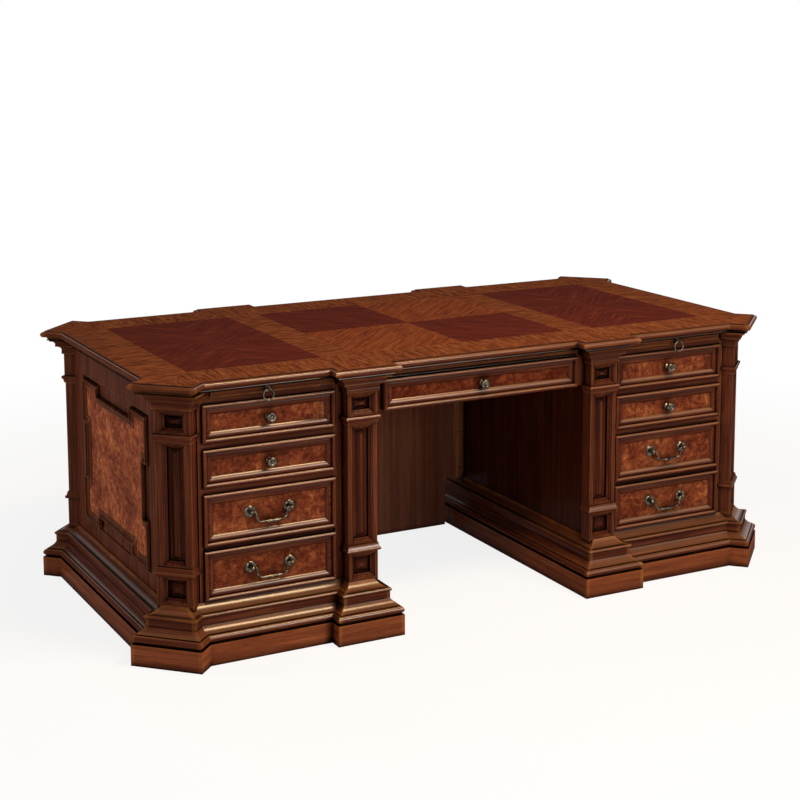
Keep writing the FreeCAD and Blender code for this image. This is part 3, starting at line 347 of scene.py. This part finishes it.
def burlColour(tree, stops):
    place = add(tree, "ShaderNodeTexCoord").outputs["Object"]
    drift = add(tree, "ShaderNodeTexNoise", {"Scale": perMetre(burl["swirl"]), "Detail": 3.0},
                {"Vector": place})
    centred = add(tree, "ShaderNodeVectorMath", {"operation": "SUBTRACT", 1: (0.5, 0.5, 0.5)},
                  {0: drift.outputs["Color"]})
    pushed = add(tree, "ShaderNodeVectorMath", {"operation": "SCALE", "Scale": burl["bend"] * 2},
                 {0: centred.outputs[0]})
    bent = add(tree, "ShaderNodeVectorMath", {"operation": "ADD"}, {0: place, 1: pushed.outputs[0]})
    mottle = add(tree, "ShaderNodeTexNoise",
                 {"Scale": perMetre(burl["mottle"]), "Detail": 7.0, "Roughness": 0.66},
                 {"Vector": bent.outputs[0]})
    cloud = add(tree, "ShaderNodeTexNoise", {"Scale": perMetre(burl["cloud"]), "Detail": 2.0},
                {"Vector": place})
    shade = add(tree, "ShaderNodeMath",
                {"operation": "MULTIPLY_ADD", 1: burl["cloudShare"], 2: -burl["cloudShare"] / 2},
                {0: cloud.outputs["Fac"]})
    level = add(tree, "ShaderNodeMath", {"operation": "ADD"},
                {0: mottle.outputs["Fac"], 1: shade.outputs[0]})
    colour = add(tree, "ShaderNodeValToRGB", {"stops": stops}, {0: level.outputs[0]})
    eyes = add(tree, "ShaderNodeTexVoronoi", {"Scale": perMetre(burl["eyeSpacing"])},
               {"Vector": bent.outputs[0]})
    dot = add(tree, "ShaderNodeMapRange", {"between": burl["eyeSize"], "gives": (burl["eyeShare"], 0.0)},
              {0: eyes.outputs["Distance"]})
    spotted = add(tree, "ShaderNodeMix", {"data_type": "RGBA", 7: linear(burl["eye"])},
                  {0: dot.outputs[0], 6: colour.outputs[0]})
    # short bright flecks where the fibres stand on end
    fibres = streaks(tree, bent.outputs[0], burl["fleckLength"], burl["fleckWidth"], detail=2.0)
    bright = add(tree, "ShaderNodeMapRange",
                 {"between": burl["fleckMark"], "gives": (0.0, burl["fleckShare"])}, {0: fibres})
    flecked = add(tree, "ShaderNodeMix", {"data_type": "RGBA", 7: linear(burl["fleck"])},
                  {0: bright.outputs[0], 6: spotted.outputs[2]})
    return flecked.outputs[2], mottle.outputs["Fac"]


def burlMaterial(name):
    material, tree = newMaterial(name)
    colour, mottle = burlColour(tree, burl["leafStops"])
    polished(tree, colour, mottle, {**walnut, "rub": burl["rub"], "bump": burl["bump"]})
    return material


# drawer fronts: a burl field sunk behind the walnut lengths round it. The middle drawer's front stands
# further forward and its burl is darker
drawerFields = {"sunk": 0.014, "middleForward": 0.010, "clear": 0.0004,     # m
                "tone": "#f6f2ee", "middleTone": "#bea79e", "upright": 0.2, "paintedHighlightShare": 0.2}


def drawerFrontMaterial(name, forward, tone):
    # burl on the field, walnut round it with the grain along each length
    material, tree = newMaterial(name)
    place = add(tree, "ShaderNodeTexCoord").outputs["Object"]
    parts = add(tree, "ShaderNodeSeparateXYZ", {}, {0: place}).outputs
    facing = add(tree, "ShaderNodeSeparateXYZ", {},
                 {0: add(tree, "ShaderNodeNewGeometry").outputs["True Normal"]}).outputs
    sideways = add(tree, "ShaderNodeMath", {"operation": "ABSOLUTE"}, {0: facing["X"]})
    upright = add(tree, "ShaderNodeMath", {"operation": "GREATER_THAN", 1: drawerFields["upright"]},
                  {0: sideways.outputs[0]})
    turned = add(tree, "ShaderNodeMix", {"data_type": "VECTOR"},
                 {0: upright.outputs[0], 4: alongGrain(tree, "x"), 5: alongGrain(tree, "up")})
    wood, pores = walnutColour(tree, turned.outputs[1], walnut)
    figure = burlColour(tree, burl["drawerStops"])[0]
    plane = frontLow.y - forward + drawerFields["sunk"] - drawerFields["clear"]
    field = add(tree, "ShaderNodeMath", {"operation": "GREATER_THAN", 1: plane}, {0: parts["Y"]})
    toned = add(tree, "ShaderNodeMix",
                {"data_type": "RGBA", "blend_type": "MULTIPLY", 0: 1.0, 7: linear(tone)}, {6: figure})
    colour = add(tree, "ShaderNodeMix", {"data_type": "RGBA"},
                 {0: field.outputs[0], 6: wood, 7: toned.outputs[2]})
    rim = add(tree, "ShaderNodeMath", {"operation": "SUBTRACT", 0: 1.0}, {1: field.outputs[0]})
    # the upper rounds of the walnut rim get a stronger painted highlight
    polished(tree, colour.outputs[2], pores, {**walnut, "paintedHighlightShare": drawerFields["paintedHighlightShare"]}, [rim.outputs[0]])
    return material


burlLeaf = burlMaterial("walnut burl veneer polished")
drawerFront = drawerFrontMaterial("walnut burl in walnut frame, drawer", 0.0, drawerFields["tone"])
middleFront = drawerFrontMaterial("walnut burl in walnut frame, middle drawer",
                                  drawerFields["middleForward"], drawerFields["middleTone"])
print("burl done")

# mahogany fields of the top, quartered with slanting grain: two opposite leaves of the middle field turn the
# light away and look darker
mahogany = {
    "stops": [(0.3, "#3a150d"), (0.5, "#52211a"), (0.75, "#6a3220")],
    "paleStops": [(0.3, "#4a2214"), (0.5, "#70391f"), (0.75, "#8a5230")],
    "streakLength": 170.0, "streakWidth": 14.0,         # mm
    "middleEdge": 0.378, "outerCentre": 0.667,          # m from the middle of the desk
    "wander": 1.2, "roughness": 0.42, "coat": 0.015, "coatRoughness": 0.2, "rub": 0.0, "bump": 0.02,
}


def fieldMaterial(name):
    material, tree = newMaterial(name)
    place = add(tree, "ShaderNodeTexCoord").outputs["Object"]
    parts = add(tree, "ShaderNodeSeparateXYZ", {}, {0: place}).outputs
    away = add(tree, "ShaderNodeMath", {"operation": "ABSOLUTE"}, {0: parts["X"]})
    outer = add(tree, "ShaderNodeMath", {"operation": "GREATER_THAN", 1: mahogany["middleEdge"]},
                {0: away.outputs[0]})
    shift = add(tree, "ShaderNodeMath", {"operation": "MULTIPLY", 1: mahogany["outerCentre"]},
                {0: outer.outputs[0]})
    local = add(tree, "ShaderNodeMath", {"operation": "SUBTRACT"}, {0: away.outputs[0], 1: shift.outputs[0]})
    # the grain slants away from both middle lines of a field
    leafX = add(tree, "ShaderNodeMath", {"operation": "ABSOLUTE"}, {0: local.outputs[0]})
    leafY = add(tree, "ShaderNodeMath", {"operation": "ABSOLUTE"}, {0: parts["Y"]})
    grain = add(tree, "ShaderNodeCombineXYZ", {}, {2: outer.outputs[0]})
    for socket, operation in enumerate(("ADD", "SUBTRACT")):
        slant = add(tree, "ShaderNodeMath", {"operation": operation},
                    {0: leafX.outputs[0], 1: leafY.outputs[0]})
        tree.links.new(slant.outputs[0], grain.inputs[socket])
    figure = streaks(tree, grain.outputs[0], mahogany["streakLength"], mahogany["streakWidth"],
                     detail=5.0, distortion=mahogany["wander"])
    deep = add(tree, "ShaderNodeValToRGB", {"stops": mahogany["stops"]}, {0: figure})
    pale = add(tree, "ShaderNodeValToRGB", {"stops": mahogany["paleStops"]}, {0: figure})
    # back left and front right leaves of the middle field are dark, and so are both outer fields
    product = add(tree, "ShaderNodeMath", {"operation": "MULTIPLY"}, {0: parts["X"], 1: parts["Y"]})
    lighter = add(tree, "ShaderNodeMath", {"operation": "GREATER_THAN", 1: 0.0}, {0: product.outputs[0]})
    inner = add(tree, "ShaderNodeMath", {"operation": "SUBTRACT", 0: 1.0}, {1: outer.outputs[0]})
    share = add(tree, "ShaderNodeMath", {"operation": "MULTIPLY"},
                {0: lighter.outputs[0], 1: inner.outputs[0]})
    colour = add(tree, "ShaderNodeMix", {"data_type": "RGBA"},
                 {0: share.outputs[0], 6: deep.outputs[0], 7: pale.outputs[0]})
    polished(tree, colour.outputs[2], figure, {**walnut, **mahogany})
    return material


# cross-banding of the top: paler walnut with short dark strokes square to each edge
crossband = {
    "stops": [(0.32, "#431f12"), (0.5, "#6c3b22"), (0.72, "#8c5733")],
    "strokeLength": 90.0, "strokeWidth": 13.0,          # mm
    "fieldOuter": 0.870, "fieldFront": 0.351,           # m, edges of the fields that the bands go round
    "wander": 1.6, "roughness": 0.42, "coat": 0.015, "rub": 0.0, "bump": 0.02,
}


def bandMaterial(name):
    material, tree = newMaterial(name)
    place = add(tree, "ShaderNodeTexCoord").outputs["Object"]
    parts = add(tree, "ShaderNodeSeparateXYZ", {}, {0: place}).outputs
    past = {}
    for axis, limit in (("X", crossband["fieldOuter"]), ("Y", crossband["fieldFront"])):
        away = add(tree, "ShaderNodeMath", {"operation": "ABSOLUTE"}, {0: parts[axis]})
        past[axis] = add(tree, "ShaderNodeMath", {"operation": "SUBTRACT", 1: limit},
                         {0: away.outputs[0]}).outputs[0]
    mitre = add(tree, "ShaderNodeMath", {"operation": "GREATER_THAN"}, {0: past["X"], 1: past["Y"]})
    between = add(tree, "ShaderNodeMath", {"operation": "LESS_THAN", 1: 0.0}, {0: past["Y"]})
    square = add(tree, "ShaderNodeMath", {"operation": "MAXIMUM"},
                 {0: mitre.outputs[0], 1: between.outputs[0]})
    turned = add(tree, "ShaderNodeMix", {"data_type": "VECTOR"},
                 {0: square.outputs[0], 4: alongGrain(tree, "y"), 5: alongGrain(tree, "x")})
    figure = streaks(tree, turned.outputs[1], crossband["strokeLength"], crossband["strokeWidth"],
                     detail=4.0, distortion=crossband["wander"])
    colour = add(tree, "ShaderNodeValToRGB", {"stops": crossband["stops"]}, {0: figure})
    polished(tree, colour.outputs[0], figure, {**walnut, **crossband})
    return material


topFields = fieldMaterial("mahogany veneer polished, quartered")
topBands = bandMaterial("walnut cross-banding polished")
print("top veneers done")

# sanded poplar of the drawer linings: pale, dull, faint grain
lining = {"dark": "#86684b", "middle": "#a0805c", "light": "#b5946d", "glazeAndShade": "#4c3520", "rubbedAndHighlight": "#b5946d",
          "fleck": "#7a5836", "roughness": 0.6, "coat": 0.0}
liningWood = walnutMaterial("poplar sanded, drawer lining", "run", lining)

# antique brass, cast and browned: clouded brown and bright, with black patina in the hollows
brass = {
    "stops": [(0.35, "#2d2821"), (0.7, "#7c7160")], "patina": "#080605", "patinaShare": 0.95,
    "mottle": 9.0, "reach": 0.005, "hollow": (0.8, 0.35), "feelers": 6,     # mm, m
    "roughness": (0.14, 0.4), "bump": 0.08, "pitDepth": 0.0004,
}


def brassMaterial(name):
    material, tree = newMaterial(name)
    cloud = add(tree, "ShaderNodeTexNoise", {"Scale": perMetre(brass["mottle"]), "Detail": 4.0},
                {"Vector": add(tree, "ShaderNodeTexCoord").outputs["Object"]}).outputs["Fac"]
    colour = add(tree, "ShaderNodeValToRGB", {"stops": brass["stops"]}, {0: cloud})
    hollow = add(tree, "ShaderNodeAmbientOcclusion",
                 {"samples": brass["feelers"], "Distance": brass["reach"]})
    depth = add(tree, "ShaderNodeMapRange",
                {"between": brass["hollow"], "gives": (0.0, brass["patinaShare"])}, {0: hollow.outputs["AO"]})
    aged = add(tree, "ShaderNodeMix", {"data_type": "RGBA", 7: linear(brass["patina"])},
               {0: depth.outputs[0], 6: colour.outputs[0]})
    dull = add(tree, "ShaderNodeMapRange", {"gives": brass["roughness"]}, {0: cloud})
    relief = add(tree, "ShaderNodeBump", {"Strength": brass["bump"], "Distance": brass["pitDepth"]},
                 {"Height": cloud})
    shader = add(tree, "ShaderNodeBsdfPrincipled", {"Metallic": 1.0},
                 {"Base Color": aged.outputs[2], "Roughness": dull.outputs[0], "Normal": relief.outputs[0]})
    add(tree, "ShaderNodeOutputMaterial", {}, {"Surface": shader.outputs[0]})
    return material


agedBrass = brassMaterial("brass cast, antique finish")

# the finish of each piece, by the end of its name
finishes = {
    "top_board": walnutRun, "frieze_bands": walnutRun, "top_fields": topFields, "top_bands": topBands,
    "side_panels": burlLeaf, "rear_panels": burlLeaf, "side_frame": walnutUp, "rear_frame": walnutUp,
    "front_frame": walnutFrame, "front_pilaster": walnutPilaster, "rear_pilaster": walnutPilaster,
    "front_corner": walnutPilaster, "rear_corner": walnutPilaster, "plinth": walnutPlinth,
    "knee_side": kneeShadedVeneer, "modesty_panel": modestyVeneer, "modesty_cleats": cleatWood,
    "writing_slide": walnutRail, "drawer_front": drawerFront, "middle_drawer_front": middleFront,
    "drawer_box": liningWood, "drawer_guides": liningWood, "middle_guides": liningWood,
    "knob": agedBrass, "bail": agedBrass, "posts": agedBrass, "ring": agedBrass, "eye": agedBrass,
}
for name, piece in nodes.items():
    for ending in sorted(finishes, key=len, reverse=True):
        if name.endswith(ending):
            piece.data.materials.clear()
            piece.data.materials.append(finishes[ending])
            break
    else:
        print("no finish for", name)
print("finishes assigned")

# studio: white sweep, a large key from the front right, a warm strip overhead, a lamp at the left, a weak one
# low behind and a weak fill. Each lamp has its place, what it faces, its width, height, watts and colour
studio = {
    "lamps": [("key", (2.0, -5.4, 2.0), (0.0, -0.3, 0.4), 1.6, 1.6, 128.0, "#fffaf2"),
              ("overhead", (0.4, -1.75, 3.1), (-0.1, -0.4, 0.5), 1.5, 0.55, 95.0, "#ffd9a8"),
              ("left", (-4.2, 1.3, 1.3), (-1.0, 0.0, 0.4), 0.8, 0.8, 62.0, "#fff4e8"),
              ("back", (2.6, 4.4, 0.42), (0.0, 0.4, 0.42), 0.6, 0.6, 55.0, "#fffaf2"),
              ("fill", (-2.2, -5.2, 1.9), (0.0, 0.0, 0.4), 1.0, 1.0, 60.0, "#ffffff")],
    "white": "#ffffff", "world": 0.10, "background": 1.0, "ceiling": 0.12, "ceilingRise": (0.42, 0.7),
}


def buildLamps():
    for name, place, target, wide, tall, power, colour in studio["lamps"]:
        data = bpy.data.lights.new(name, "AREA")
        data.shape = "RECTANGLE"
        data.size = wide
        data.size_y = tall
        data.energy = power
        data.color = linear(colour)[:3]
        lamp = bpy.data.objects.new(name, data)
        scene.collection.objects.link(lamp)
        lamp.location = place
        lamp.rotation_euler = (Vector(target) - Vector(place)).to_track_quat("-Z", "Y").to_euler()


def seenShare(tree):
    # the light path, and 1 where the camera or a reflection looks
    path = add(tree, "ShaderNodeLightPath").outputs
    seen = add(tree, "ShaderNodeMath", {"operation": "MAXIMUM"},
               {0: path["Is Camera Ray"], 1: path["Is Glossy Ray"]})
    return path, seen.outputs[0]


def buildWorld():
    world = bpy.data.worlds.new("studio")
    scene.world = world
    world.use_nodes = True
    tree = world.node_tree
    tree.nodes.clear()
    path, seen = seenShare(tree)
    through = add(tree, "ShaderNodeMath", {"operation": "MAXIMUM"}, {0: seen, 1: path["Is Transmission Ray"]})
    # the sweep ends overhead and reflections find a dark room there, so polished mouldings keep their depth
    direction = add(tree, "ShaderNodeTexCoord").outputs["Generated"]
    rise = add(tree, "ShaderNodeSeparateXYZ", {}, {0: direction}).outputs["Z"]
    sweep = add(tree, "ShaderNodeMapRange",
                {"between": studio["ceilingRise"], "gives": (studio["background"], studio["ceiling"])},
                {0: rise})
    shown = add(tree, "ShaderNodeMix", {3: studio["background"]},
                {0: path["Is Camera Ray"], 2: sweep.outputs[0]})
    strength = add(tree, "ShaderNodeMapRange", {"To Min": studio["world"]},
                   {0: through.outputs[0], "To Max": shown.outputs[0]})
    light = add(tree, "ShaderNodeBackground", {"Color": linear(studio["white"])},
                {"Strength": strength.outputs[0]})
    add(tree, "ShaderNodeOutputWorld", {}, {"Surface": light.outputs[0]})


# matt white paper under the desk: it keeps a pale shadow, which fades to plain white over the metres given
paper = {"colour": "#f2f2f2", "reach": 14.0, "fade": (1.2, 3.2), "whiteness": (0.84, 1.0)}


def buildFloor():
    reach = paper["reach"]
    mesh = bpy.data.meshes.new("floor")
    mesh.from_pydata([(-reach, -reach, 0), (reach, -reach, 0), (reach, reach, 0), (-reach, reach, 0)], [],
                     [(0, 1, 2, 3)])
    floor = bpy.data.objects.new("floor", mesh)
    scene.collection.objects.link(floor)
    material, tree = newMaterial("paper sweep, matt white")
    seen = seenShare(tree)[1]
    matt = add(tree, "ShaderNodeBsdfDiffuse", {"Color": linear(paper["colour"])})
    white = add(tree, "ShaderNodeEmission", {"Color": linear(studio["white"]), "Strength": 1.0})
    place = add(tree, "ShaderNodeTexCoord").outputs["Object"]
    far = add(tree, "ShaderNodeVectorMath", {"operation": "LENGTH"}, {0: place})
    plain = add(tree, "ShaderNodeMapRange", {"between": paper["fade"], "gives": paper["whiteness"]},
                {0: far.outputs["Value"]})
    share = add(tree, "ShaderNodeMath", {"operation": "MULTIPLY"}, {0: seen, 1: plain.outputs[0]})
    mixed = add(tree, "ShaderNodeMixShader", {},
                {0: share.outputs[0], 1: matt.outputs[0], 2: white.outputs[0]})
    add(tree, "ShaderNodeOutputMaterial", {}, {"Surface": mixed.outputs[0]})
    mesh.materials.append(material)


buildLamps()
buildWorld()
buildFloor()

# camera where the photograph was taken from: a standing eye with a falling front, in metres, degrees and mm
view = {"place": (-2.4767, -4.664, 1.7849), "turn": 27.73, "down": 8.265, "roll": -0.128,
        "lens": 76.70, "sensor": 36.0, "fall": -0.1903, "farthest": 100.0}
lensData = bpy.data.cameras.new("camera")
lensData.sensor_fit = "HORIZONTAL"
lensData.sensor_width = view["sensor"]
lensData.lens = view["lens"]
lensData.shift_y = view["fall"]
lensData.clip_end = view["farthest"]
camera = bpy.data.objects.new("camera", lensData)
scene.collection.objects.link(camera)
camera.matrix_world = (Matrix.Translation(Vector(view["place"]))
                       @ Matrix.Rotation(math.radians(-view["turn"]), 4, "Z")
                       @ Matrix.Rotation(math.radians(90 - view["down"]), 4, "X")
                       @ Matrix.Rotation(math.radians(view["roll"]), 4, "Z"))
scene.camera = camera
print("studio and camera done")
